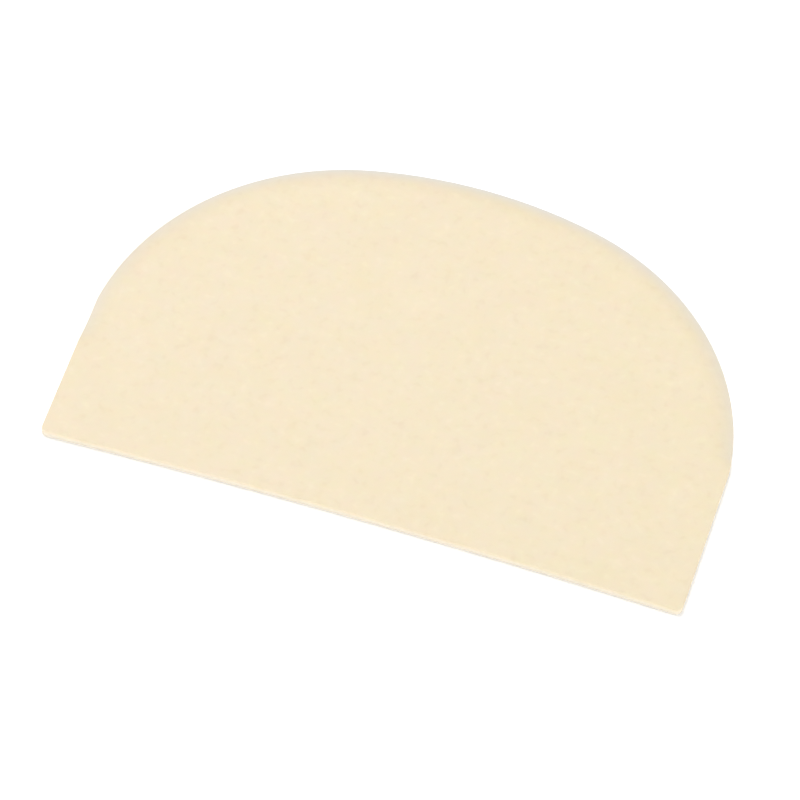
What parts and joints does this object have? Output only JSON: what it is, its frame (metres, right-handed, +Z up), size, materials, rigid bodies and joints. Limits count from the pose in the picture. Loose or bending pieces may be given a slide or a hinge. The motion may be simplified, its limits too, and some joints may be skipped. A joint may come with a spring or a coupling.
{
  "type": "bowl scraper",
  "caption": "D-shaped springy plastic card with a bevelled arched edge for scraping bowls and a straight base edge for scraping a worktop.",
  "frame": {"origin": "on the flat underside, under the middle of the card's bounding box", "axes": "+X along the base edge towards the right-hand corner, +Y from the base edge to the crown of the arch, +Z up out of the bevelled face"},
  "size_m": [0.12, 0.08, 0.0016],
  "materials": {
    "cream_plastic": "fine matte grain as moulded"
  },
  "bodies": {
    "root": {"scraper_blade": "cream_plastic"}
  },
  "joints": []
}
